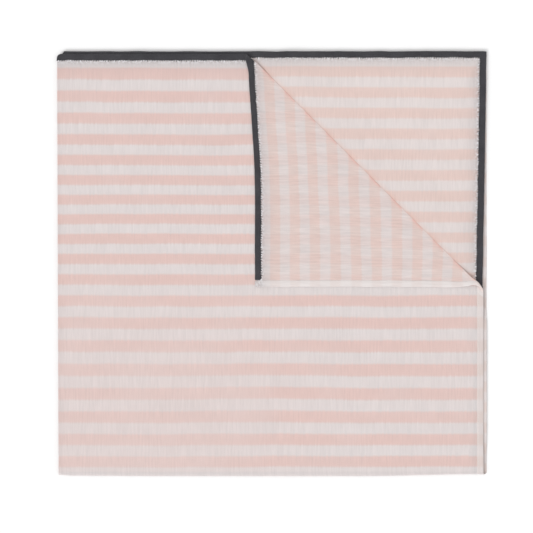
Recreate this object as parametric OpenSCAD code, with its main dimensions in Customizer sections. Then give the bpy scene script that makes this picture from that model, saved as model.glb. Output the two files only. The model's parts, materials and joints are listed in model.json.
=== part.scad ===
// Square striped muslin wrap, folded in four and laid flat, with one corner of the top ply turned back.
// Origin: centre of the footprint, on the surface that the bottom ply lies on. +X right, +Y away from
// the bottom fold, +Z up. Plies are counted from the top: ply 1 lies on ply 2, and ply 4 on the surface.

/* [Folded cloth] */
// Width of the folded cloth, from the side fold to the furthest side edge
folded_w = 600; // [440:1:800]
// Depth of the folded cloth, from the bottom fold to the furthest top edge
folded_d = 592; // [440:1:800]
// Thickness of one ply, with its crinkle
cloth_t = 0.8; // [0.5:0.1:1]

/* [Edges] */
// Width of the charcoal edging that binds the top edge and one side edge
edging_w = 9; // [6:0.5:14]
// Width of the plain double-turned hem on the other two edges
hem_w = 9; // [6:0.5:14]
// Thickness of the edging and of the hem, all layers together
edge_t = 1.4; // [1.2:0.1:2]

/* [Folding] */
// Free gap between the edges of two plies that lie on each other
ply_gap = 0.3; // [0.3:0.1:0.8]
// How far the top edge of ply 1 stops short of the top edge of ply 2
top_step = 4; // [0:0.5:12]
// How far the side edge of ply 1 stops short of the folded width
side_step = 5; // [3:0.5:12]
// How far the side edge of plies 2 and 3 leans in at the bottom fold
side_lean = 10; // [4:0.5:14]

/* [Turned corner] */
// Length along each edge that the turned corner takes
corner_leg = 329; // [120:1:380]
// How far the tip of the turned corner lies to the right of a true mirror image
tip_shift = 9; // [0:0.5:12]

/* [Hidden] */

pitch = edge_t + ply_gap;            // height from one ply to the next
joint_gap = 0.3;                     // clearance where two plies meet at a moving fold
reach = 2 * (folded_w + folded_d);   // longer than anything that is cut
cut_h = 30;                          // taller than the whole stack
round_fn = 32;                       // segments of a round section

// Height of each ply's middle layer. Ply 4 lies on the surface; the turned corner counts as ply 0.
function edge_z(n) = edge_t / 2 + (4 - n) * pitch;
function cloth_z(n) = n == 4 ? cloth_t / 2 : edge_z(n);

// The bottom fold, about which the front leaf opens: its outer radius, and how far in its axis lies
fold_r = (edge_z(1) - edge_z(4)) / 2 + edge_t / 2;
fold_y = -folded_d / 2 + fold_r;

// The side fold: its outer radius at an edge, and how far in its axis lies
side_r = pitch / 2 + edge_t / 2;
side_x = -folded_w / 2 + side_r;

// Edges of plies 1 to 4
function top_y(n) = folded_d / 2 - [top_step, 0, top_step / 2, 1][n - 1];
function right_top(n) = folded_w / 2 - [side_step, 0.5, 2.5, 0][n - 1];
function right_low(n) = folded_w / 2 - [side_step, side_lean + 0.5, side_lean + 0.5, 2][n - 1];
function lean(n) = atan2(right_top(n) - right_low(n), top_y(n) - fold_y);
function right_at(n, y) = right_low(n) + (y - fold_y) * tan(lean(n));
function low_y(n) = n <= 2 ? fold_y + joint_gap : fold_y;

// The crease of the turned corner is the line x + y = crease_sum, from its upper end to its lower end
crease_sum = right_top(1) + top_y(1) - corner_leg;
crease_a = [crease_sum - top_y(1), top_y(1)];
crease_b = [right_top(1), crease_sum - right_top(1)];
tip = [crease_sum - top_y(1) + tip_shift, crease_sum - right_top(1) + tip_shift / 4];

muslin = "#e2cac4";
charcoal = "#48474b";
hem_white = "#e6dedb";

// ---- shapes ----

// Places its children with local +X from p to q, so that the cloth lies on their left, at local +Y
module along(p, q) {
    translate([p.x, p.y, 0]) rotate([0, 0, atan2(q.y - p.y, q.x - p.x)]) children();
}

// Everything to the left of the line from p to q in plan, and more than w away from it
module left_of(p, q, w = 0) {
    along(p, q) translate([-reach / 2, w, -cut_h / 2]) cube([reach, reach, cut_h]);
}

// A bound edge from p to q: its rounded outer side runs from p to q, its inner side is w away
module edge_strip(p, q, w, z) {
    along(p, q) translate([0, 0, z]) rotate([90, 0, 90]) linear_extrude(norm(q - p)) {
        translate([edge_t / 2, 0]) circle(d = edge_t, $fn = round_fn);
        translate([edge_t / 2, -edge_t / 2]) square([w - edge_t / 2, edge_t]);
    }
}

// A half round fold that joins the heights z_a and z_b. Its ends stand on the line from p to q,
// and it bulges to the left of that line.
module fold_strip(p, q, z_a, z_b, t) {
    r = abs(z_b - z_a) / 2;
    along(p, q) translate([0, 0, (z_a + z_b) / 2]) rotate([90, 0, 90]) linear_extrude(norm(q - p))
        difference() {
            circle(r = r + t / 2, $fn = 2 * round_fn);
            circle(r = r - t / 2, $fn = 2 * round_fn);
            translate([-2 * fold_r, -2 * fold_r]) square([2 * fold_r, 4 * fold_r]);
        }
}

// The plain cloth of ply n, inside its side edge of width side_w and its top edge of width top_w
module ply_panel(n, side_w, top_w) {
    y_top = top_y(n) - top_w;
    inset = side_w / cos(lean(n));
    translate([0, 0, cloth_z(n) - cloth_t / 2]) linear_extrude(cloth_t) polygon([
        [side_x, low_y(n)],
        [right_at(n, low_y(n)) - inset, low_y(n)],
        [right_at(n, y_top) - inset, y_top],
        [side_x, y_top]
    ]);
}

// The side edge of ply n, from the bottom fold to its top corner
module side_strip(n, w) {
    edge_strip([right_at(n, low_y(n)), low_y(n)], [right_top(n), top_y(n)], w, edge_z(n));
}

// The top edge of ply n, from its top corner to the side fold
module top_strip(n, w) {
    edge_strip([right_top(n), top_y(n)], [side_x, top_y(n)], w, edge_z(n));
}

// The side of the crease that the corner of ply 1 was turned back from
module beyond_crease() {
    left_of(crease_a, crease_b);
}

// Everything further from the bottom fold than height y
module above(y) {
    left_of([0, y], [1, y]);
}

// Keeps what lies on the turned corner's side of the crease, clear of the crease itself
module on_flap() {
    gap = joint_gap / sqrt(2);
    difference() {
        children();
        left_of(crease_a - [gap, gap], crease_b - [gap, gap]);
    }
}

// ---- back leaf: plies 4 and 3 ----

module ply_4_cloth() {
    color(muslin) ply_panel(4, hem_w, hem_w);
}

module ply_4_top_hem() {
    color(hem_white) top_strip(4, hem_w);
}

module ply_4_side_hem() {
    color(hem_white) difference() {
        side_strip(4, hem_w);
        above(top_y(4) - hem_w);
    }
}

module ply_3_cloth() {
    color(muslin) ply_panel(3, edging_w, hem_w);
}

module ply_3_top_hem() {
    color(hem_white) top_strip(3, hem_w);
}

module ply_3_side_edging() {
    color(charcoal) difference() {
        side_strip(3, edging_w);
        above(top_y(3) - hem_w);
    }
}

module back_side_fold() {
    color(muslin) fold_strip([side_x, fold_y], [side_x, top_y(3) - hem_w], cloth_z(4), cloth_z(3), cloth_t);
}

module back_hem_bend() {
    color(hem_white)
        fold_strip([side_x, top_y(3) - hem_w], [side_x, top_y(3)], edge_z(4), edge_z(3), edge_t);
}

// ---- front leaf: plies 2 and 1 ----

module ply_2_cloth() {
    color(muslin) ply_panel(2, edging_w, edging_w);
}

// The two charcoal edges of ply 2 meet in a mitre
module ply_2_top_edging() {
    corner = [right_top(2), top_y(2)];
    color(charcoal) difference() {
        top_strip(2, edging_w);
        left_of(corner, corner - [1, 1]);
    }
}

module ply_2_side_edging() {
    corner = [right_top(2), top_y(2)];
    color(charcoal) difference() {
        side_strip(2, edging_w);
        left_of(corner - [1, 1], corner);
    }
}

module ply_1_cloth() {
    color(muslin) difference() {
        ply_panel(1, hem_w, edging_w);
        beyond_crease();
    }
}

module ply_1_side_hem() {
    color(hem_white) difference() {
        side_strip(1, hem_w);
        beyond_crease();
    }
}

module ply_1_top_edging() {
    color(charcoal) difference() {
        top_strip(1, edging_w);
        beyond_crease();
    }
}

module front_side_fold() {
    color(muslin) fold_strip(
        [side_x, fold_y + joint_gap], [side_x, top_y(1) - edging_w], cloth_z(2), cloth_z(1), cloth_t);
}

module front_edging_bend() {
    color(charcoal)
        fold_strip([side_x, top_y(1) - edging_w], [side_x, top_y(1)], edge_z(2), edge_z(1), edge_t);
}

// ---- turned corner ----

module flap_cloth() {
    color(muslin) on_flap() intersection() {
        translate([0, 0, cloth_z(0) - cloth_t / 2]) linear_extrude(cloth_t)
            polygon([crease_a, tip, crease_b]);
        left_of(crease_a, tip, edging_w);
        left_of(tip, crease_b, hem_w);
    }
}

// The hem is turned over the end of the edging, so the edging stops at the hem
module flap_edging() {
    color(charcoal) on_flap() intersection() {
        edge_strip(crease_a, tip, edging_w, edge_z(0));
        left_of(tip, crease_b, hem_w);
    }
}

module flap_hem() {
    color(hem_white) on_flap() edge_strip(tip, crease_b, hem_w, edge_z(0));
}

// ---- folds that change shape as the cloth is opened ----

module outer_bottom_fold() {
    x_end = right_low(1) - hem_w;
    color(muslin) fold_strip([x_end, fold_y], [side_x, fold_y], cloth_z(4), cloth_z(1), cloth_t);
}

module outer_hem_bend() {
    x_end = right_low(1);
    color(hem_white) fold_strip([x_end, fold_y], [x_end - hem_w, fold_y], edge_z(4), edge_z(1), edge_t);
}

module inner_bottom_fold() {
    x_end = right_low(2) - edging_w;
    color(muslin) fold_strip([x_end, fold_y], [side_x, fold_y], cloth_z(3), cloth_z(2), cloth_t);
}

module inner_edging_bend() {
    x_end = right_low(2);
    color(charcoal) fold_strip([x_end, fold_y], [x_end - edging_w, fold_y], edge_z(3), edge_z(2), edge_t);
}

// The crease crosses the edging at its upper end and the hem at its lower end
module crease_fold() {
    a = crease_a + [edging_w, -edging_w];
    b = crease_b - [hem_w, -hem_w];
    color(muslin) fold_strip(a, b, cloth_z(1), cloth_z(0), cloth_t);
}

module crease_edging_bend() {
    color(charcoal)
        fold_strip(crease_a, crease_a + [edging_w, -edging_w], edge_z(1), edge_z(0), edge_t);
}

module crease_hem_bend() {
    color(hem_white) fold_strip(crease_b - [hem_w, -hem_w], crease_b, edge_z(1), edge_z(0), edge_t);
}

ply_4_cloth();
ply_4_side_hem();
ply_4_top_hem();
ply_3_cloth();
ply_3_side_edging();
ply_3_top_hem();
back_side_fold();
back_hem_bend();
ply_2_cloth();
ply_2_side_edging();
ply_2_top_edging();
ply_1_cloth();
ply_1_side_hem();
ply_1_top_edging();
front_side_fold();
front_edging_bend();
flap_cloth();
flap_edging();
flap_hem();
outer_bottom_fold();
outer_hem_bend();
inner_bottom_fold();
inner_edging_bend();
crease_fold();
crease_edging_bend();
crease_hem_bend();
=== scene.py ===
"""The looks of a folded striped muslin wrap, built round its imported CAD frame. Lengths are in metres.

The whole cloth is one square, and a point of it is (s, t, h):
  s runs along the stripes from the side fold, positive on the half with the plain side hem,
  t runs across the stripes from the charcoal top edge,
  h is the height above the middle of the cloth's thickness, positive on its face.
The place_ functions fold (s, t, h) into the frame. The plies count from the top of the stack.
"""
import json
import math

import bmesh
import bpy
import numpy as np
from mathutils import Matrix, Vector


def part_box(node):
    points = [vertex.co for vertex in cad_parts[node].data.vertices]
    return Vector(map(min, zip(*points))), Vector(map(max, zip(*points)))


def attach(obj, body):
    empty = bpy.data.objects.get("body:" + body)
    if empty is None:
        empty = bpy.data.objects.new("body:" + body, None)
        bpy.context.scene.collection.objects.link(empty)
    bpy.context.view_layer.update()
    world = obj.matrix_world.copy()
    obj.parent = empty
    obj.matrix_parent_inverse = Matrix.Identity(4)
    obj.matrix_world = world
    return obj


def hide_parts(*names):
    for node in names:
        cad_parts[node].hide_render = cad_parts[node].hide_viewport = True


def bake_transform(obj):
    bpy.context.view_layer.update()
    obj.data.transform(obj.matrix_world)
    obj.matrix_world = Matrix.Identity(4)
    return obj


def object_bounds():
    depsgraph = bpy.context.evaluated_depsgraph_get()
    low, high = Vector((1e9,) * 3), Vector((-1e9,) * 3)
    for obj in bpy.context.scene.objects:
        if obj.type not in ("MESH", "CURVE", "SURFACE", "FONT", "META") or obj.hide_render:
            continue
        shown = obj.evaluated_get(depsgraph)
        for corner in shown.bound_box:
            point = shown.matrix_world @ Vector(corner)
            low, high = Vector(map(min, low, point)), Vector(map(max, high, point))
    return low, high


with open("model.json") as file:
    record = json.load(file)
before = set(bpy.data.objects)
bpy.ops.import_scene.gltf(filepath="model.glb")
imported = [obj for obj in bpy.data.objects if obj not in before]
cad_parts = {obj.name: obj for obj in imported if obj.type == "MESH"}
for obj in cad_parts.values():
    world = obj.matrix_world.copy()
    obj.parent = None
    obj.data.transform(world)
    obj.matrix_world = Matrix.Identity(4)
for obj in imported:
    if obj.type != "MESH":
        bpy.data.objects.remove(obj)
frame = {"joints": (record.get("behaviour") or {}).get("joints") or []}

CAD_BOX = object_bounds()
MM = 0.001
ROOT_HALF = math.sqrt(0.5)


# ---- sizes from the frame ----

def middle_z(node):
    low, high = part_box(node)
    return (low.z + high.z) / 2


def pivot(joint):
    return next(j["pos_m"] for j in frame["joints"] if j["name"] == joint)


PLY_Z = {
    1: middle_z("ply_1_side_hem"),
    2: middle_z("ply_2_side_edging"),
    3: middle_z("ply_3_side_edging"),
    4: middle_z("ply_4_side_hem"),
}
FLAP_Z = middle_z("flap_hem")
TOP_Y = {
    1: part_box("ply_1_top_edging")[1].y,
    2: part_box("ply_2_top_edging")[1].y,
    3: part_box("ply_3_top_hem")[1].y,
    4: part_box("ply_4_top_hem")[1].y,
}
RIGHT_TOP = {
    1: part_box("ply_1_side_hem")[1].x,
    2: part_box("ply_2_side_edging")[1].x,
    3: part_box("ply_3_side_edging")[1].x,
    4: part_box("ply_4_side_hem")[1].x,
}
INNER_LOW_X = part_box("inner_edging_bend")[1].x
RIGHT_LOW = {1: RIGHT_TOP[1], 2: INNER_LOW_X, 3: INNER_LOW_X, 4: RIGHT_TOP[4]}
FOLD_Y = pivot("leaf_unfold")[1]
CREASE_SUM = pivot("corner_turn")[0] + pivot("corner_turn")[1]
CREASE_START = np.array(pivot("corner_turn")[:2])
CREASE_LENGTH = (RIGHT_TOP[1] - CREASE_START[0]) * math.sqrt(2)
CORNER_LEG = CREASE_LENGTH * ROOT_HALF
SIDE_R = (PLY_Z[1] - PLY_Z[2]) / 2
LEFT_X = CAD_BOX[0].x
LEFT_LEAN = 2.2 * MM                    # how far the side fold leans in, from its top to its bottom

# ---- sizes of the flat cloth ----

HALF_S = RIGHT_TOP[1] - LEFT_X          # from the side fold to either side edge
BEND_S = math.pi * SIDE_R / 2           # half of the side fold's bend
DEEP_T = TOP_Y[2] - FOLD_Y              # from the top edge to the bottom fold
ARC_T = 8 * MM                          # round the outer bottom fold
BACK_T = DEEP_T + ARC_T
END_T = BACK_T + DEEP_T
EDGING_W = 9 * MM
HEM_W = 9 * MM
STRIPE_PERIOD = 29 * MM
FIRST_STRIPE = 23 * MM                  # from the top edge to the first pink stripe
CUT_BACK = 8 * MM                       # where the corner piece starts, before the crease
EDGING_THICK = 1.2 * MM
HEM_THICK = 0.96 * MM
CREPE_H = 0.05 * MM                     # the height of each of the two sizes of pucker
GATHER_H = 0.12 * MM                    # the height of the gathers beside the top edging
CORNER_INSET = 18 * MM                  # from the crease's lower end to where its curl starts
CURL = 10.3                             # how fast the curl bows away from the crease, in 1/m
BUNCH_LENGTH = 480 * MM                 # from one place where the stripes are bunched to the next


# ---- small tools ----

def smooth(low, high, x):
    """0 below low, 1 above high, and a soft step between them."""
    u = np.clip((x - low) / (high - low), 0, 1)
    return u * u * (3 - 2 * u)


def noise(x, y, cell_x, cell_y, seed):
    """Soft random values from -1 to 1, the same ones each run: a grid of random numbers, blended."""
    size = 256
    values = np.random.default_rng(seed).uniform(-1, 1, (size, size))
    u = np.asarray(x) / cell_x + size / 4
    v = np.asarray(y) / cell_y + size / 4
    i, j = np.floor(u).astype(int), np.floor(v).astype(int)
    a, b = smooth(0, 1, u - i), smooth(0, 1, v - j)
    i, j, i2, j2 = i % size, j % size, (i + 1) % size, (j + 1) % size
    low = values[i, j] * (1 - a) + values[i2, j] * a
    high = values[i, j2] * (1 - a) + values[i2, j2] * a
    return low * (1 - b) + high * b


def spaced(start, stop, step):
    """Even values from start to stop, at most step apart."""
    return np.linspace(start, stop, max(2, math.ceil(abs(stop - start) / step) + 1))


# ---- how the cloth lies ----

def billow(x, y):
    """Long low waves of the lying cloth. They die away at the bottom fold and beside the crease."""
    wave = 0.45 * MM * noise(x, y, 85 * MM, 70 * MM, 3) + 0.22 * MM * noise(x, y, 32 * MM, 40 * MM, 5)
    from_crease = np.abs(x + y - CREASE_SUM) * ROOT_HALF
    return wave * smooth(0, 110 * MM, y - FOLD_Y) * smooth(CUT_BACK, 60 * MM, from_crease)


def crinkle(s, t):
    """The crepe of the muslin: puckers that run across the stripes, and gathers at the top edging."""
    crepe = noise(s, t, 3.2 * MM, 22 * MM, 11) + noise(s, t, 7 * MM, 16 * MM, 12)
    gather = noise(s, t, 3.4 * MM, 40 * MM, 13) * np.exp(-np.maximum(t - EDGING_W, 0) / (6 * MM))
    return CREPE_H * crepe + GATHER_H * gather * (t < DEEP_T / 2)


def along_crease(x, y):
    """The distance along the crease from its upper end, at the edging."""
    return ((x - CREASE_START[0]) - (y - CREASE_START[1])) * ROOT_HALF


def crease_ends(x, y):
    """1 along the middle of the crease, and 0 near the edging and the hem at its ends."""
    along = along_crease(x, y)
    to_hem = CREASE_LENGTH - along
    return smooth(20 * MM, 50 * MM, along) * smooth(30 * MM, 60 * MM, to_hem)


def puff(x, y):
    """Ply 2 rises a little where the turned corner no longer holds it down."""
    beyond = (x + y - CREASE_SUM) * ROOT_HALF
    under_corner = 1.25 * MM * smooth(-30 * MM, -1 * MM, beyond)
    at_crease = 1.0 * MM * smooth(-0.7 * MM, 0.8 * MM, beyond)
    return (under_corner + at_crease) * (1 - smooth(8 * MM, 70 * MM, beyond)) * crease_ends(x, y)


def plan(ply, across, down):
    """Where a ply's point lies. across and down are shares: from the side fold to the side edge, and from
    the top edge to the bottom fold."""
    left = LEFT_X + LEFT_LEAN * down
    right = RIGHT_TOP[ply] + (RIGHT_LOW[ply] - RIGHT_TOP[ply]) * down
    return left + (right - left) * across, TOP_Y[ply] + (FOLD_Y - TOP_Y[ply]) * down


FRONT_LEAF = {
    "near": 1, "far": 2,                        # the plies at s > 0 and at s < 0
    "turn": 1,                                  # 1 if ply near lies on top, and -1 if it lies below
    "wave_near": 1.0, "wave_far": 0.8,          # how much of the billow each ply has
    "round_t": 6 * MM,                          # how far down the side fold's upper end is rounded
    "rim": -1.4 * MM,                           # how far the near ply's side edge bends up
    "tuck": 0,                                  # how far the side fold's upper end is drawn in
}
BACK_LEAF = {
    "near": 4, "far": 3, "turn": -1,
    "wave_near": 0.15, "wave_far": 0.4,
    "round_t": 9 * MM,
    "rim": 2.0 * MM,
    "tuck": 4 * MM,
}


def place_leaf(s, down, h, near, far, turn, wave_near, wave_far, round_t, rim, tuck):
    """One half of the fold: ply near at s > 0 and ply far at s < 0, joined by the side fold's bend."""
    off_fold = np.abs(s)
    across = np.clip((off_fold - BEND_S) / (HALF_S - BEND_S), 0, None)
    x_near, y_near = plan(near, across, down)
    x_far, y_far = plan(far, across, down)
    x = np.where(s > 0, x_near, x_far)
    y = y_near + (y_far - y_near) * smooth(5.5 * MM, 9 * MM, -s)
    y = y - tuck * (1 - down) * (1 - smooth(5 * MM, 13 * MM, off_fold))
    angle = np.clip(s / SIDE_R, -math.pi / 2, math.pi / 2)
    to_top = np.clip(1 - down * DEEP_T / round_t, 0, 1)
    round_top = round_t * (1 - np.sqrt(1 - to_top ** 2)) * np.exp(-off_fold / (7 * MM))
    upper = 0.5 + 0.5 * np.sin(angle)
    lift = billow(x, y) * (wave_far + (wave_near - wave_far) * upper)
    lift = lift + puff(x, y) * (1 - upper) * (near == 1)
    low_part = smooth(0, 70 * MM, y - FOLD_Y) * (1 - smooth(-95 * MM, -55 * MM, y))
    lift = lift + rim * (s > 0) * smooth(287 * MM, 297 * MM, x) * low_part
    x = x + SIDE_R + round_top - (SIDE_R + h) * np.cos(angle) - SIDE_R * across
    z = (PLY_Z[near] + PLY_Z[far]) / 2 + turn * (SIDE_R + h) * np.sin(angle)
    return np.stack([x, y, z + lift], -1)


def place_front(s, t, h):
    return place_leaf(s, t / DEEP_T, h, **FRONT_LEAF)


def place_back(s, t, h):
    return place_leaf(s, (END_T - t) / DEEP_T, h, **BACK_LEAF)


def place_bottom(s, t, h):
    """Round the bottom fold, from the front leaf's edge to the back leaf's. The outer half bulges a
    little in the middle of its length."""
    here = np.ones_like(s)
    front, back = place_front(s, DEEP_T * here, h), place_back(s, BACK_T * here, h)
    share = (t - DEEP_T) / ARC_T
    angle = math.pi * share
    centre_z, radius = (front[:, 2] + back[:, 2]) / 2, (front[:, 2] - back[:, 2]) / 2
    x = front[:, 0] + (back[:, 0] - front[:, 0]) * share
    to_right, to_left = smooth(120 * MM, 295 * MM, x), smooth(150 * MM, 300 * MM, -x)
    bulge = (2.0 - 2.9 * to_right - 0.8 * to_left) * MM * smooth(0, 20 * MM, s)
    y = FOLD_Y - (radius + bulge) * np.sin(angle)
    return np.stack([x, y, centre_z + radius * np.cos(angle)], -1)


def crease_radius(along):
    """The crease's bend is tight in the cloth, and rounder where it crosses the edging and the hem."""
    at_edging = 1 - smooth(6 * MM, 26 * MM, along)
    at_hem = smooth(CREASE_LENGTH - 34 * MM, CREASE_LENGTH - 10 * MM, along)
    return 0.35 * MM + 0.8 * MM * at_edging + 1.75 * MM * at_hem


def place_corner(s, t, h):
    """The corner of ply 1: flat up to the crease, round its bend, and back over ply 1. The crease bows in
    at its ends, and the turned cloth slides a little askew, settles and sags at its edges."""
    across, down = (s - BEND_S) / (HALF_S - BEND_S), t / DEEP_T
    x, y = plan(1, across, down)
    x = x + SIDE_R * (1 - across)
    along = along_crease(x, y)
    at_end = np.maximum(along - CREASE_LENGTH + CORNER_INSET, 0)
    bow = 3.2 * MM * (1 - smooth(2 * MM, 24 * MM, along)) + CURL * at_end ** 2
    tilt = np.arctan(2 * CURL * at_end)
    beyond = ((x + y - CREASE_SUM) * ROOT_HALF + bow) * np.cos(tilt)
    radius = crease_radius(along)
    angle = np.clip(beyond / radius, 0, math.pi)
    past = np.maximum(beyond - math.pi * radius, 0)
    step = (np.minimum(beyond, 0) - beyond + (radius - h) * np.sin(angle) - past) * ROOT_HALF
    slide_x = 9.3 * MM * smooth(0, 135 * MM, past) * (1 - np.clip(t / CORNER_LEG, 0, 1))
    at_start = np.exp(-past / (14 * MM)) * np.exp(-t / (30 * MM))
    slide_x = slide_x - 1.5 * MM * smooth(0, 3 * MM, past) * at_start
    slide_y = 3.4 * MM * (1 - np.exp(-past / (25 * MM)))
    x = x + step * (np.cos(tilt) + np.sin(tilt)) + slide_x
    y = y + step * (np.cos(tilt) - np.sin(tilt)) + slide_y
    settle = (FLAP_Z - PLY_Z[1] - 2 * radius) * smooth(0, 34 * MM, past)
    to_edge = np.minimum(t, HALF_S - s)
    droop = 0.75 * MM * (1 - smooth(4 * MM, 28 * MM, to_edge)) * smooth(8 * MM, 50 * MM, past)
    ripple = 0.9 * billow(x, y) * smooth(4 * MM, 30 * MM, past)
    z = PLY_Z[1] + radius - (radius - h) * np.cos(angle) + settle - droop + ripple
    return np.stack([x, y, z], -1)


def stripe_t(s, t, corner):
    """t as the stripes see it: the lying cloth is a little stretched or bunched, more in some places.
    front is for ply 1, ply_2 for the ply below it, and flap for the turned corner and its surroundings."""
    here = np.minimum(t, DEEP_T)
    bunching = 7 * MM * np.sin(2 * math.pi * (here - 213 * MM) / BUNCH_LENGTH)
    front = 8.2 * MM + 0.963 * here + bunching + t - here
    ply_2 = 1.7 * MM + 1.0045 * t
    front = front + (ply_2 - front) * smooth(0, 250 * MM, -s)
    lean = 2.8 * MM * smooth(150 * MM, 220 * MM, t) * smooth(0, 60 * MM, HALF_S - s)
    flap = t + 0.9 * MM - 2.6 * MM * smooth(80 * MM, 170 * MM, t) - lean
    x, y = plan(1, s / HALF_S, t / DEEP_T)
    beyond = (x + y - CREASE_SUM) * ROOT_HALF
    spread = 45 * MM + 0.6 * np.maximum(x - CREASE_START[0], 0)
    off_upper_end, off_lower_end = x - CREASE_START[0], y - CREASE_START[1] + CORNER_LEG
    ends = smooth(6 * MM, 46 * MM, off_upper_end) * smooth(-5 * MM, 35 * MM, off_lower_end)
    turned = ends * (np.ones_like(s) if corner else smooth(-spread, -CUT_BACK, beyond) * (s > 0))
    waves = 0.8 * MM * noise(s, t, 110 * MM, 120 * MM, 21) + 0.5 * MM * noise(s, t, 38 * MM, 60 * MM, 22)
    return front + (flap - front) * turned + waves * smooth(0, 40 * MM, t)


# ---- flat meshes, as (points, faces) in (s, t, h) ----

def sheet_mesh(s_values, t_values):
    s, t = np.meshgrid(s_values, t_values, indexing="ij")
    points = np.stack([s.ravel(), t.ravel(), crinkle(s, t).ravel()], 1)
    i = np.arange(s.size).reshape(s.shape)
    faces = np.stack([i[:-1, :-1], i[:-1, 1:], i[1:, 1:], i[1:, :-1]], -1).reshape(-1, 4)
    return points, faces.tolist()


def as_bmesh(points, faces):
    mesh = bpy.data.meshes.new("scratch")
    mesh.from_pydata(points.tolist(), [], faces)
    work = bmesh.new()
    work.from_mesh(mesh)
    bpy.data.meshes.remove(mesh)
    return work


def unfold(ply, x, y):
    """The flat point, (s, t, 0), of ply 1 or 2 that lies at (x, y)."""
    down = (TOP_Y[ply] - y) / (TOP_Y[ply] - FOLD_Y)
    left = LEFT_X + LEFT_LEAN * down + SIDE_R
    right = RIGHT_TOP[ply] + (RIGHT_LOW[ply] - RIGHT_TOP[ply]) * down
    off_fold = BEND_S + (x - left) / (right - left) * (HALF_S - BEND_S)
    return np.array([off_fold * (1 if ply == 1 else -1), down * DEEP_T, 0 * off_fold])


def flat_crease(ply, back):
    """A point and the outward normal, in (s, t), of the line on a ply that lies back from the crease."""
    line_sum = CREASE_SUM - back / ROOT_HALF
    start = unfold(ply, line_sum - TOP_Y[1], TOP_Y[1])
    run = unfold(ply, RIGHT_TOP[1], line_sum - RIGHT_TOP[1]) - start
    run = run / np.linalg.norm(run)
    return start, np.array([run[1], -run[0], 0])


def past_line(s, t, origin, outward):
    """How far (s, t) lies past a line, on its outward side."""
    return (s - origin[0]) * outward[0] + (t - origin[1]) * outward[1]


CUT_LINE = flat_crease(1, CUT_BACK)
REACH = 12 * MM                         # a row splits only faces whose first point is this close


def add_rows(work, origin, outward, rows):
    """Splits the faces along rows at these distances from a line, so that the cloth can bend there."""
    for row in rows:
        faces_near = [f for f in work.faces if abs(
            past_line(f.verts[0].co.x, f.verts[0].co.y, origin, outward) - row) < REACH]
        edges_near = {e for f in faces_near for e in f.edges}
        verts_near = {v for f in faces_near for v in f.verts}
        bmesh.ops.bisect_plane(
            work, geom=[*verts_near, *edges_near, *faces_near], dist=1e-7,
            plane_co=origin + outward * row, plane_no=outward)


def split_at_crease(points, faces, fill):
    """Cuts a flat mesh where the corner piece starts. Extra rows of points let the corner bend, and in
    the cloth (fill is False) let ply 2 rise. fill closes the cut ends of an edging or hem."""
    work = as_bmesh(points, faces)
    add_rows(work, *CUT_LINE, [0, *np.arange(2.5 * MM, 15 * MM, 0.5 * MM)])
    if not fill:
        add_rows(work, *CUT_LINE, np.arange(7.25 * MM, 10 * MM, 0.5 * MM))
        add_rows(work, *flat_crease(2, 0), np.arange(-2.4 * MM, 2.5 * MM, 0.6 * MM))
    halves = []
    for beyond in (False, True):
        half = work.copy()
        middles = [(f, f.calc_center_median()) for f in half.faces]
        drop = [f for f, middle in middles if (past_line(middle.x, middle.y, *CUT_LINE) > 0) != beyond]
        bmesh.ops.delete(half, geom=drop, context="FACES")
        if fill:
            rims = [e for e in half.edges if e.is_boundary]
            bmesh.ops.holes_fill(half, edges=rims)
            bmesh.ops.recalc_face_normals(half, faces=half.faces)
        half.verts.index_update()
        half_faces = [[v.index for v in f.verts] for f in half.faces]
        halves.append((np.array([v.co for v in half.verts]), half_faces))
        half.free()
    work.free()
    return halves


def section(width, half_thick, waist, inner):
    """The outline of an edging or hem across its width: a round outer side, and a sewn inner side. Points
    are shares of the width and of half the thickness. The seam pulls the waist in."""
    shape = [(0, 0), (0.02, 0.5), (0.06, 0.8), (0.14, 0.97), (0.32, 1), (0.52, 0.98), (0.7, 0.94),
             (0.8, waist), (0.88, inner), (0.96, 0.7 * inner), (1, 0.2)]
    upper = [(a * width, b * half_thick) for a, b in shape]
    return np.array(upper + [(a, -b) for a, b in reversed(upper[1:])])


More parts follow.
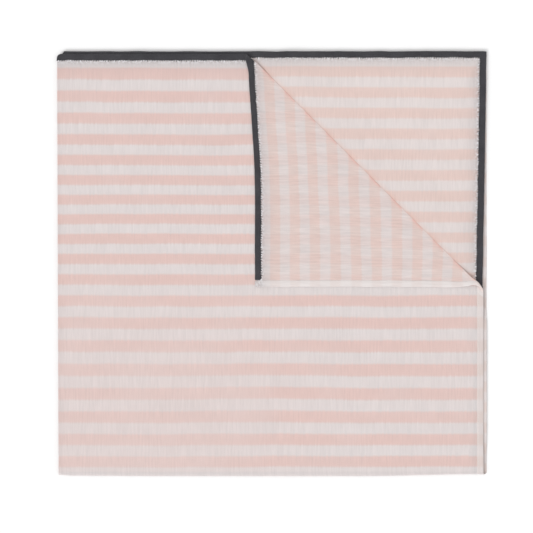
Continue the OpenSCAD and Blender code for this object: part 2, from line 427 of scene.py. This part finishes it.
def band_mesh(corners, outline, width, pitch, scallop, seed, ends=(True, True)):
    """A closed strip along the polyline corners, given as (s, t, inward s, inward t) for each stretch's
    start, with its section set inwards. It is mitred at each corner and rounded off at its open ends.
    Each ring of the strip is (s, t, inward s, inward t, how near it is to a mitre)."""
    rings = []
    for k in range(len(corners) - 1):
        (s, t, in_s, in_t), stop = corners[k], corners[k + 1]
        run = np.array([stop[0] - s, stop[1] - t])
        length = np.linalg.norm(run)
        run /= length
        for u in spaced(0, length, pitch / 4)[(1 if k else 0):]:
            before = max(0, 1 - u / width) if k else 0
            after = max(0, 1 - (length - u) / width) if k < len(corners) - 2 else 0
            inward = np.array([in_s, in_t]) + run * (before - after)
            rings.append((*(np.array([s, t]) + run * u), *inward, max(before, after)))
    rings = np.array(rings)
    travel = np.concatenate([[0], np.cumsum(np.linalg.norm(np.diff(rings[:, :2], axis=0), axis=1))])
    zero = np.zeros_like(travel)
    uneven = 1 + 0.6 * noise(travel, zero, 4 * MM, 1, seed + 3)
    waver = noise(travel, zero, 5 * MM, 1, seed)
    wide = 1 + scallop * (uneven * np.cos(2 * math.pi * travel / pitch) + waver)
    wide = np.where(rings[:, 4] > 0, 1, wide)
    thick = 1 + 0.09 * noise(travel, zero, 3.2 * MM, 1, seed + 1) - 0.22 * smooth(0.7, 1, rings[:, 4])
    for at_end, distance in zip(ends, (travel, travel[-1] - travel)):
        if at_end:
            to_full = np.clip(distance / (2.4 * MM), 0, 1)
            rounding = np.sqrt(np.clip(1 - (1 - to_full) ** 2, 0.03, 1))
            thick, wide = thick * rounding, wide * (0.55 + 0.45 * rounding)
    stray = 0.22 * MM * noise(travel, zero, 24 * MM, 1, seed + 2)
    stray = stray + 2.4 * MM * scallop * noise(travel, zero, 11 * MM, 1, seed + 4)
    a = outline[None, :, 0] * wide[:, None] + stray[:, None]
    if ends[0] or ends[1]:
        a = a + (1 - np.minimum(thick, 1))[:, None] * width * 0.1
    base, inward = rings[:, None, :2], rings[:, None, 2:4]
    heights = (outline[None, :, 1] * thick[:, None])[..., None]
    points = np.concatenate([base + inward * a[..., None], heights], -1)
    n_rings, n_side = points.shape[:2]
    i = np.arange(n_rings * n_side).reshape(n_rings, n_side)
    j = np.roll(i, -1, axis=1)
    faces = np.stack([i[:-1], j[:-1], j[1:], i[1:]], -1).reshape(-1, 4).tolist()
    return points.reshape(-1, 3), faces + [i[0].tolist(), i[-1][::-1].tolist()]


def stitch_mesh(paths, radius):
    """Threads as thin tubes along short paths of (s, t, h) points."""
    points, faces = [], []
    sides = 6
    turns = np.linspace(0, 2 * math.pi, sides, endpoint=False)
    for path in paths:
        path = np.array(path)
        run = np.gradient(path, axis=0)
        run /= np.linalg.norm(run, axis=1)[:, None]
        side = np.cross(run, [0, 0, 1])
        side /= np.linalg.norm(side, axis=1)[:, None]
        up = np.cross(side, run)
        thin = np.array([0.35, *([1] * (len(path) - 2)), 0.35]) * radius
        ring = side[:, None] * np.cos(turns)[None, :, None] + up[:, None] * np.sin(turns)[None, :, None]
        first = len(points)
        points.extend((path[:, None] + ring * thin[:, None, None]).reshape(-1, 3))
        i = first + np.arange(len(path) * sides).reshape(len(path), sides)
        j = np.roll(i, -1, axis=1)
        faces += np.stack([i[:-1], j[:-1], j[1:], i[1:]], -1).reshape(-1, 4).tolist()
        faces += [i[0].tolist(), i[-1][::-1].tolist()]
    return np.array(points), faces


def whip_stitches(start, stop, inward, width, height, seed):
    """Stitches that bite over the inner side of the edging into the cloth, on both of its sides."""
    start, stop, inward = np.array(start), np.array(stop), np.array(inward)
    length = np.linalg.norm(stop - start)
    run = (stop - start) / length
    rng = np.random.default_rng(seed)
    paths = []
    for u in np.arange(STITCH_PITCH / 2, length, STITCH_PITCH):
        u = u + rng.uniform(-0.3, 0.3) * MM
        reach_in, reach_out = rng.uniform(1.2, 1.9) * MM, rng.uniform(0.5, 2.1) * MM
        slant = rng.uniform(0.2, 0.7) * MM
        for side in (1, -1):
            spine = []
            for share, lift in ((0, 0.35), (0.25, 0.95), (0.6, 0.9), (1, 0.1)):
                a = width - reach_in + share * (reach_in + reach_out)
                spot = start + run * (u + slant * share * side) + inward * a
                spine.append((*spot, side * height * lift))
            paths.append(spine)
    return paths


def running_stitches(start, stop, inward, offset, height, seed):
    """A line of sewing along a hem, on both of its sides."""
    start, stop, inward = np.array(start), np.array(stop), np.array(inward)
    length = np.linalg.norm(stop - start)
    run = (stop - start) / length
    rng = np.random.default_rng(seed)
    paths = []
    for u in np.arange(2 * MM, length - 2 * MM, HEM_STITCH_PITCH):
        a = offset + rng.uniform(-0.12, 0.12) * MM
        for side in (1, -1):
            spine = []
            for share, lift in ((0, 0.7), (0.2, 1.05), (0.5, 1.2), (0.8, 1.05), (1, 0.7)):
                spot = start + run * (u + share * HEM_STITCH) + inward * a
                spine.append((*spot, side * height * lift))
            paths.append(spine)
    return paths


# ---- materials ----

def linear(*levels):
    """A display colour of 0 to 255 as a linear RGBA colour."""
    return (*[((v / 255 + 0.055) / 1.055) ** 2.4 for v in levels], 1)


CREASE_SHADE_TINT = (1, 0.84, 0.78, 1)
FOLD_SHADE_TINT = (0.86, 0.86, 0.865, 1)
SHOW_THROUGH_TINT = (1, 0.968, 0.96, 1)
FLUFF_AND_SHADE_COLOUR = linear(140, 138, 144)
GATHER_HIGHLIGHT_COLOUR = linear(250, 248, 251)
FLOOR_COLOUR = (0.94, 0.94, 0.94, 1)


def new_material(name):
    material = bpy.data.materials.new(name)
    material.use_nodes = True
    material.node_tree.nodes.clear()
    return material, material.node_tree


def add(tree, kind, values, **settings):
    """Adds a shader node. values gives its inputs, as numbers and colours or as sockets to link."""
    made = tree.nodes.new("ShaderNode" + kind)
    for key, value in settings.items():
        setattr(made, key, value)
    for key, value in values.items():
        if isinstance(value, bpy.types.NodeSocket):
            tree.links.new(value, made.inputs[key])
        else:
            made.inputs[key].default_value = value
    return made


def attribute(tree, name, output="Fac"):
    """A value that make_piece stored at the mesh's points."""
    return add(tree, "Attribute", {}, attribute_name=name).outputs[output]


def maths(tree, operation, *values):
    return add(tree, "Math", dict(enumerate(values)), operation=operation).outputs[0]


def mix_colour(tree, share, first, second):
    return add(tree, "Mix", {0: share, 6: first, 7: second}, data_type="RGBA").outputs[2]


def cloth_noise(tree, scale_s, scale_t, detail, seed):
    """Noise on the cloth's own coordinates, so that it keeps to the threads. Scales: cells a metre."""
    flat = attribute(tree, "cloth", "Vector")
    scaled = add(tree, "Mapping", {
        "Vector": flat, "Location": (seed, seed, 0), "Scale": (scale_s, scale_t, 1)}).outputs[0]
    return add(tree, "TexNoise", {"Vector": scaled, "Scale": 1, "Detail": detail}).outputs[0]


def finish_surface(tree, colour, height, bump, see_through, roughness, sheen):
    normal = add(tree, "Bump", {"Height": height, "Strength": bump, "Distance": 0.4 * MM}).outputs[0]
    surface = add(tree, "BsdfPrincipled", {
        "Base Color": colour, "Normal": normal, "Roughness": roughness, "Sheen Weight": sheen,
        "Sheen Roughness": 0.5, "Specular IOR Level": 0.15}).outputs[0]
    if see_through:
        through = add(tree, "BsdfTranslucent", {"Color": colour, "Normal": normal}).outputs[0]
        surface = add(tree, "MixShader", {0: see_through, 1: surface, 2: through}).outputs[0]
    add(tree, "OutputMaterial", {"Surface": surface})


def stripe_share(tree, t, blur):
    """1 in a pink stripe and 0 in a white one."""
    turns = maths(tree, "MULTIPLY_ADD", t, 1 / STRIPE_PERIOD, 0.25 - FIRST_STRIPE / STRIPE_PERIOD)
    to_edge = maths(tree, "PINGPONG", turns, 0.5)
    edge_range = {0: to_edge, 1: 0.25 - blur, 2: 0.25 + blur}
    return add(tree, "MapRange", edge_range, interpolation_type="SMOOTHSTEP").outputs[0]


def tinted(tree, colour, share, tint):
    """The colour, multiplied by the tint where share is 1."""
    filter_colour = mix_colour(tree, share, (1, 1, 1, 1), tint)
    return add(tree, "VectorMath", {0: colour, 1: filter_colour}, operation="MULTIPLY").outputs[0]


def muslin(name, face, back, see_through, blur, uneven, gather_highlight_share, over_stripes=False):
    """Striped cotton gauze. face and back give its pink and white on either side. blur softens the
    stripes' sides, uneven varies the threads' brightness, and tufted sets the painted highlights on the
    gathers beside the edging."""
    material, tree = new_material(name)
    s, t, reverse = add(tree, "SeparateXYZ", {0: attribute(tree, "cloth", "Vector")}).outputs
    streak = cloth_noise(tree, 420, 34, 4, 3.1)
    threads = cloth_noise(tree, 60, 900, 2, 7.7)
    mottle = cloth_noise(tree, 22, 30, 2, 1.9)

    # stripes: ragged sides, patchy dye, and worn towards the lower left
    ragged = maths(tree, "ADD", maths(tree, "MULTIPLY_ADD", streak, 3.4 * MM, -1.7 * MM), t)
    dyed = maths(tree, "MULTIPLY_ADD", cloth_noise(tree, 11, 13, 2, 6.1), 0.7, 0.67)
    worn = attribute(tree, "worn")
    dyed = maths(tree, "MULTIPLY", dyed, maths(tree, "MULTIPLY_ADD", worn, -0.42, 1))
    stripe = maths(tree, "MULTIPLY", stripe_share(tree, ragged, blur), dyed)
    stripe = maths(tree, "MULTIPLY_ADD", worn, 0.17, stripe)
    face_colour = mix_colour(tree, stripe, face[1], face[0])
    back_colour = mix_colour(tree, stripe, back[1], back[0])
    colour = mix_colour(tree, reverse, face_colour, back_colour)
    bright = maths(tree, "MULTIPLY_ADD", streak, uneven, 1 - uneven / 2)
    bright = maths(tree, "MULTIPLY_ADD", mottle, 0.05, maths(tree, "SUBTRACT", bright, 0.025))
    colour = add(tree, "VectorMath", {0: colour, 3: bright}, operation="SCALE").outputs[0]

    # tints, all painted light: a darker peach line at the crease and a little grey along the folds, both
    # painted shade, and the stripes of the ply below, painted as if they showed through
    at_crease = maths(tree, "MULTIPLY", attribute(tree, "crease"), 0.66)
    colour = tinted(tree, colour, at_crease, CREASE_SHADE_TINT)
    colour = tinted(tree, colour, attribute(tree, "folded"), FOLD_SHADE_TINT)
    if over_stripes:
        below = stripe_share(tree, attribute(tree, "below"), 0.08)
        colour = tinted(tree, colour, below, SHOW_THROUGH_TINT)

    # beside the edging: darker cloth, partly dark fluff and partly painted shade, and pale specks, painted
    # highlights on the gathers
    dye = attribute(tree, "dye")
    shade = mix_colour(tree, maths(tree, "MULTIPLY", dye, 0.38), colour, FLUFF_AND_SHADE_COLOUR)
    # painted highlights: pale specks on the gathers close to the edging, brighter than the cloth itself
    gather_noise = cloth_noise(tree, 300, 300, 3, 4.4)
    close = maths(tree, "MULTIPLY", maths(tree, "POWER", dye, 3.5), 1.6 * gather_highlight_share)
    beside = maths(tree, "MINIMUM", close, gather_highlight_share)
    gather_highlight = add(tree, "MapRange", {0: gather_noise, 1: 0.47, 2: 0.56}).outputs[0]
    shade = mix_colour(tree, maths(tree, "MULTIPLY", gather_highlight, beside), shade, GATHER_HIGHLIGHT_COLOUR)

    gathers = maths(tree, "MULTIPLY", gather_noise, maths(tree, "MULTIPLY", dye, 2.2))
    height = maths(tree, "ADD", maths(tree, "MULTIPLY_ADD", threads, 0.5, streak), gathers)
    finish_surface(tree, shade, height, 0.85, see_through, 0.9, 0.15)
    return material


def fibre(name, dark, light, scale, bump, sheen):
    """Yarn and woven tape: two close tones, fuzzy and matt."""
    material, tree = new_material(name)
    grain = cloth_noise(tree, scale, scale, 4, 5.3)
    broad = cloth_noise(tree, scale / 9, scale / 9, 1, 2.2)
    share = maths(tree, "MULTIPLY_ADD", broad, 0.4, maths(tree, "MULTIPLY", grain, 0.6))
    finish_surface(tree, mix_colour(tree, share, dark, light), grain, bump, 0, 0.95, sheen)
    return material


def floor_material():
    material, tree = new_material("floor")
    surface = add(tree, "BsdfPrincipled", {
        "Base Color": FLOOR_COLOUR, "Roughness": 1, "Specular IOR Level": 0}).outputs[0]
    add(tree, "OutputMaterial", {"Surface": surface})
    return material


# ---- pieces ----

def make_piece(name, flat_mesh, place, material, reverse):
    """Folds a flat mesh into place. Its cloth attribute keeps s, the stripes' t, and 1 where the reverse
    side shows. The others are shares for the materials, but for below: the t of what lies under it."""
    points, faces = flat_mesh
    s, t, h = points.T
    mesh = bpy.data.meshes.new(name)
    mesh.from_pydata(place(s, t, h).tolist(), [], faces)
    mesh.polygons.foreach_set("use_smooth", [True] * len(mesh.polygons))
    for cap in [p for p in mesh.polygons if p.loop_total > 8]:
        for loop in cap.loop_indices:
            mesh.edges[mesh.loops[loop].edge_index].use_edge_sharp = True
    corner = place is place_corner
    cloth = np.stack([s, stripe_t(s, t, corner), reverse(s, t)], -1).astype(np.float32)
    mesh.attributes.new("cloth", "FLOAT_VECTOR", "POINT").data.foreach_set("vector", cloth.ravel())
    # how near the edging is: the cloth is darkened here, partly dark fluff and partly painted shade, and
    # painted highlights go on its gathers
    to_edging = np.minimum(np.maximum(t, 0), np.maximum(HALF_S + s, 0)) - EDGING_W
    dye = np.exp(-np.maximum(to_edging, 0) / (8 * MM)) * (t < BACK_T)
    # crease: painted shade, a warm darker line along the crease of the turned corner
    from_crease = np.abs(past_line(s, t, *flat_crease(1 if corner else 2, 0)))
    crease = 0.6 * np.exp(-from_crease / (1.6 * MM)) + 0.4 * (1 - smooth(1.5 * MM, 8 * MM, from_crease))
    crease = crease * (corner | (s < -BEND_S)) * (t < DEEP_T)
    worn = smooth(250 * MM, 480 * MM, t) * (1 - smooth(180 * MM, 420 * MM, s))
    worn = worn * (s > 0) * (t < DEEP_T)
    # folded: painted shade, a little grey along the side fold and the bottom fold
    off_bottom = np.maximum(DEEP_T - t, 0) + np.maximum(t - BACK_T, 0)
    folded = np.maximum(np.exp(-np.abs(s) / (4 * MM)), 0.55 * np.exp(-off_bottom / (1 * MM)))
    values = {"dye": dye, "crease": crease, "worn": worn, "folded": folded}
    # below: the stripes of ply 1 under the turned corner, painted into its colour as if they showed
    # through
    if corner:
        values["below"] = stripe_t(*unfold(1, *place(s, t, h)[:, :2].T)[:2], False)
    for key, value in values.items():
        mesh.attributes.new(key, "FLOAT", "POINT").data.foreach_set("value", value.astype(np.float32))
    mesh.materials.append(material)
    mesh.update()
    piece = bpy.data.objects.new(name, mesh)
    bpy.context.scene.collection.objects.link(piece)
    return piece


def level(value):
    return lambda s, t: np.full_like(s, value)


def reverse_front(s, t):
    return 1 - smooth(-BEND_S, BEND_S / 2, s)


def reverse_bottom(s, t):
    return reverse_front(s, t) * (1 - smooth(DEEP_T, BACK_T, t))


def reverse_corner(s, t):
    return smooth(CUT_BACK + 1 * MM, CUT_BACK + 4 * MM, past_line(s, t, *CUT_LINE))


STITCH_PITCH = 3.4 * MM
HEM_STITCH_PITCH = 3.6 * MM
HEM_STITCH = 2.5 * MM
THREAD_R = {"charcoal_edging": 0.4 * MM, "plain_hem": 0.18 * MM}

FACE = (linear(241, 215, 209), linear(240, 233, 232))
MUSLIN = muslin(
    "striped_muslin", FACE, (linear(243, 222, 215), linear(243, 235, 233)),
    see_through=0.3, blur=0.07, uneven=0.2, gather_highlight_share=1)
TURNED_MUSLIN = muslin(
    "turned_muslin", FACE, (linear(240, 222, 216), linear(239, 230, 228)),
    see_through=0.3, blur=0.055, uneven=0.3, gather_highlight_share=1, over_stripes=True)
HEM_CLOTH = muslin(
    "plain_hem", (linear(221, 207, 202), linear(224, 215, 213)),
    (linear(227, 217, 214), linear(229, 222, 220)), see_through=0.08, blur=0.09, uneven=0.2, gather_highlight_share=0.3)
EDGING = fibre("charcoal_edging", linear(30, 29, 33), linear(81, 80, 84), 520, 0.9, 0.3)
DARK_THREAD = fibre("charcoal_thread", linear(42, 41, 45), linear(66, 65, 69), 1500, 0.6, 0.3)
WHITE_THREAD = fibre("white_thread", linear(222, 214, 210), linear(236, 230, 227), 1500, 0.5, 0.2)

INSET = 1.6 * MM                        # the cloth ends inside its edging and hems
BESIDE_FOLD = spaced(-BEND_S, BEND_S, 0.4 * MM)[1:-1]
FINE, COARSE = 1.45 * MM, 2.9 * MM


def s_rows(step):
    """Values of s over the whole width, closer together round the side fold."""
    return np.concatenate(
        [spaced(INSET - HALF_S, -BEND_S, step), BESIDE_FOLD, spaced(BEND_S, HALF_S - INSET, step)])


S_FINE, S_COARSE = s_rows(FINE), s_rows(COARSE)
T_FRONT = spaced(INSET, DEEP_T, 3.4 * MM)
T_BACK = spaced(BACK_T, END_T - INSET, 5 * MM)
T_BOTTOM = np.linspace(DEEP_T, BACK_T, 15)
front_half, corner_half = split_at_crease(*sheet_mesh(S_FINE, T_FRONT), fill=False)
back_sheet = sheet_mesh(S_COARSE, T_BACK)
outer_sheet = sheet_mesh(S_FINE[S_FINE >= -0.01 * MM], T_BOTTOM)
inner_sheet = sheet_mesh(S_FINE[S_FINE <= 0.01 * MM], T_BOTTOM)


def make_sheet(name, flat_mesh, place, material, reverse):
    return make_piece(name, flat_mesh, place, material, reverse)


front_cloth = make_sheet("front_cloth", front_half, place_front, MUSLIN, reverse_front)
corner_cloth = make_sheet("corner_cloth", corner_half, place_corner, TURNED_MUSLIN, reverse_corner)
back_cloth = make_sheet("back_cloth", back_sheet, place_back, MUSLIN, level(0))
outer_fold = make_sheet("outer_fold_cloth", outer_sheet, place_bottom, MUSLIN, reverse_bottom)
inner_fold = make_sheet("inner_fold_cloth", inner_sheet, place_bottom, MUSLIN, reverse_bottom)

# Edging: along the top edge to the mitred corner, then down the side edge, over the bottom fold and up
EDGING_SECTION = section(EDGING_W, EDGING_THICK / 2, 0.72, 0.85)
HEM_SECTION = section(HEM_W, HEM_THICK / 2, 0.62, 0.6)
top_and_side = band_mesh(
    [(HALF_S - HEM_W - 0.3 * MM, 0, 0, 1), (-HALF_S, 0, 1, 0), (-HALF_S, DEEP_T, 0, 0)],
    EDGING_SECTION, EDGING_W, STITCH_PITCH, 0.055, 31, ends=(True, False))
edging_front_mesh, edging_corner_mesh = split_at_crease(*top_and_side, fill=True)
edging_bend_mesh = band_mesh([(-HALF_S, DEEP_T, 1, 0), (-HALF_S, BACK_T, 0, 0)],
                             EDGING_SECTION, EDGING_W, STITCH_PITCH, 0, 35, ends=(False, False))
edging_back_mesh = band_mesh([(-HALF_S, BACK_T, 1, 0), (-HALF_S, END_T - HEM_W, 0, 0)],
                             EDGING_SECTION, EDGING_W, STITCH_PITCH, 0.055, 37, ends=(False, True))


def make_edging(name, flat_mesh, place):
    return make_piece(name, flat_mesh, place, EDGING, level(0))


front_edging = make_edging("front_edging", edging_front_mesh, place_front)
corner_edging = make_edging("corner_edging", edging_corner_mesh, place_corner)
edging_bend = make_edging("edging_bend", edging_bend_mesh, place_bottom)
back_edging = make_edging("back_edging", edging_back_mesh, place_back)

# Hems: the plain side edge, from the corner's tip over the bottom fold and up, and the hidden top edge
side_hem = band_mesh([(HALF_S, 0, -1, 0), (HALF_S, DEEP_T, 0, 0)],
                     HEM_SECTION, HEM_W, HEM_STITCH_PITCH, 0.008, 41, ends=(True, False))
hem_front_mesh, hem_corner_mesh = split_at_crease(*side_hem, fill=True)
hem_bend_mesh = band_mesh([(HALF_S, DEEP_T, -1, 0), (HALF_S, BACK_T, 0, 0)],
                          HEM_SECTION, HEM_W, HEM_STITCH_PITCH, 0, 43, ends=(False, False))
hem_back_mesh = band_mesh([(HALF_S, BACK_T, -1, 0), (HALF_S, END_T, 0, 0)],
                          HEM_SECTION, HEM_W, HEM_STITCH_PITCH, 0.008, 45, ends=(False, True))
hem_top_mesh = band_mesh([(HALF_S - HEM_W, END_T, 0, -1), (-HALF_S, END_T, 0, 0)],
                         HEM_SECTION, HEM_W, HEM_STITCH_PITCH, 0.008, 47)


def make_hem(name, flat_mesh, place, reverse=0):
    return make_piece(name, flat_mesh, place, HEM_CLOTH, level(reverse))


front_hem = make_hem("front_hem", hem_front_mesh, place_front)
corner_hem = make_hem("corner_hem", hem_corner_mesh, place_corner, reverse=1)
hem_bend = make_hem("hem_bend", hem_bend_mesh, place_bottom)
back_side_hem = make_hem("back_side_hem", hem_back_mesh, place_back)
back_top_hem = make_hem("back_top_hem", hem_top_mesh, place_back)


# Stitches, sorted by the part of the cloth that they lie on
def past_cut(path):
    s, t = np.mean(path, axis=0)[:2]
    return past_line(s, t, *CUT_LINE)


def flat_part(paths):
    return [p for p in paths if past_cut(p) < 0]


def turned_part(paths, crease):
    """Stitches on the turned side. Those on the bend itself, near the crease, are hidden inside it."""
    return [p for p in paths if past_cut(p) > crease]


EDGING_BITE = (EDGING_W, EDGING_THICK / 2)
HEM_SEAM = (0.8 * HEM_W, 0.36 * MM)     # where the hem's line of sewing runs, and its height
dark_top = whip_stitches((HALF_S - HEM_W - 2 * MM, 0), (-HALF_S + EDGING_W, 0), (0, 1), *EDGING_BITE, 51)
dark_side = whip_stitches((-HALF_S, EDGING_W), (-HALF_S, DEEP_T), (1, 0), *EDGING_BITE, 52)
dark_back = whip_stitches((-HALF_S, BACK_T), (-HALF_S, END_T - HEM_W), (1, 0), *EDGING_BITE, 53)
white_side = running_stitches((HALF_S, 0), (HALF_S, DEEP_T), (-1, 0), *HEM_SEAM, 54)
white_back = running_stitches((HALF_S, BACK_T), (HALF_S, END_T), (-1, 0), *HEM_SEAM, 55)
white_top = running_stitches((HALF_S - HEM_W, END_T), (-HALF_S, END_T), (0, -1), *HEM_SEAM, 56)


def make_stitches(name, paths, place, material, slot):
    return make_piece(name, stitch_mesh(paths, THREAD_R[slot]), place, material, level(0))


front_edging_stitches = make_stitches(
    "front_edging_stitches", flat_part(dark_top) + dark_side, place_front,
    DARK_THREAD, "charcoal_edging")
corner_edging_stitches = make_stitches(
    "corner_edging_stitches", turned_part(dark_top, 9 * MM), place_corner,
    DARK_THREAD, "charcoal_edging")
back_edging_stitches = make_stitches(
    "back_edging_stitches", dark_back, place_back, DARK_THREAD, "charcoal_edging")
front_hem_stitches = make_stitches(
    "front_hem_stitches", flat_part(white_side), place_front,
    WHITE_THREAD, "plain_hem")
corner_hem_stitches = make_stitches(
    "corner_hem_stitches", turned_part(white_side, 12 * MM), place_corner,
    WHITE_THREAD, "plain_hem")
back_hem_stitches = make_stitches(
    "back_hem_stitches", white_back + white_top, place_back, WHITE_THREAD, "plain_hem")

# ---- what rides on what, and the solids of the frame that are hidden ----

FRONT_TRIM = [front_edging, front_hem, front_edging_stitches, front_hem_stitches]
BACK_TRIM = [back_edging, back_side_hem, back_top_hem, back_edging_stitches, back_hem_stitches]
for piece in (front_cloth, *FRONT_TRIM):
    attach(piece, "front_leaf")
for piece in (back_cloth, *BACK_TRIM):
    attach(piece, "back_leaf")


def bend_across(piece):
    """Bakes the piece's transform into its mesh."""
    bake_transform(piece)


bend_across(outer_fold)
bend_across(inner_fold)
bend_across(hem_bend)
bend_across(edging_bend)


def turn_across_crease(piece):
    """Bakes the piece's transform into its mesh."""
    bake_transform(piece)


turn_across_crease(corner_cloth)
turn_across_crease(corner_edging)
turn_across_crease(corner_hem)
for piece in (corner_edging_stitches, corner_hem_stitches):
    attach(piece, "corner_flap")

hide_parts("ply_1_cloth", "ply_2_cloth", "front_side_fold")
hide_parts("ply_3_cloth", "ply_4_cloth", "back_side_fold")
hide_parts("outer_bottom_fold")
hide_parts("inner_bottom_fold")
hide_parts("flap_cloth", "crease_fold")
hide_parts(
    "ply_1_top_edging", "front_edging_bend", "ply_2_top_edging", "ply_2_side_edging")
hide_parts("flap_edging", "crease_edging_bend")
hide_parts("inner_edging_bend")
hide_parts("ply_3_side_edging")
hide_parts("ply_1_side_hem")
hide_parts("flap_hem", "crease_hem_bend")
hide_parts("outer_hem_bend")
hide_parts("ply_4_side_hem")
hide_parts("ply_3_top_hem", "ply_4_top_hem", "back_hem_bend")

# ---- floor, light and camera ----

FLOOR_SIZE = 8
floor_mesh = bpy.data.meshes.new("floor")
edge = FLOOR_SIZE / 2
floor_corners = [(-edge, -edge, 0), (edge, -edge, 0), (edge, edge, 0), (-edge, edge, 0)]
floor_mesh.from_pydata(floor_corners, [], [(0, 1, 2, 3)])
floor_mesh.materials.append(floor_material())
floor = bpy.data.objects.new("floor", floor_mesh)
bpy.context.scene.collection.objects.link(floor)


def add_sun(name, azimuth, elevation, strength, spread):
    """A soft even light. Azimuth is anticlockwise from +X, as seen from above."""
    light = bpy.data.lights.new(name, "SUN")
    light.energy = strength
    light.angle = math.radians(spread)
    lamp = bpy.data.objects.new(name, light)
    bpy.context.scene.collection.objects.link(lamp)
    lamp.rotation_mode = "XYZ"
    lamp.rotation_euler = (0, math.radians(90 - elevation), math.radians(azimuth))
    return lamp


add_sun("key", 233, 40, 1.35, 26)

world = bpy.data.worlds.new("studio")
world.use_nodes = True
world.node_tree.nodes["Background"].inputs["Color"].default_value = (1, 1, 1, 1)
world.node_tree.nodes["Background"].inputs["Strength"].default_value = 0.83
bpy.context.scene.world = world
bpy.context.scene.view_settings.view_transform = "Standard"

VIEW_WIDTH = 0.7435                     # what the picture spans at the height of ply 1
VIEW_X, VIEW_Y = -7.7 * MM, -4.5 * MM
LENS = 110
camera_data = bpy.data.cameras.new("camera")
camera_data.lens = LENS
camera_data.clip_end = 50
camera = bpy.data.objects.new("camera", camera_data)
bpy.context.scene.collection.objects.link(camera)
camera.location = (VIEW_X, VIEW_Y, PLY_Z[1] + VIEW_WIDTH * LENS / camera_data.sensor_width)
bpy.context.scene.camera = camera
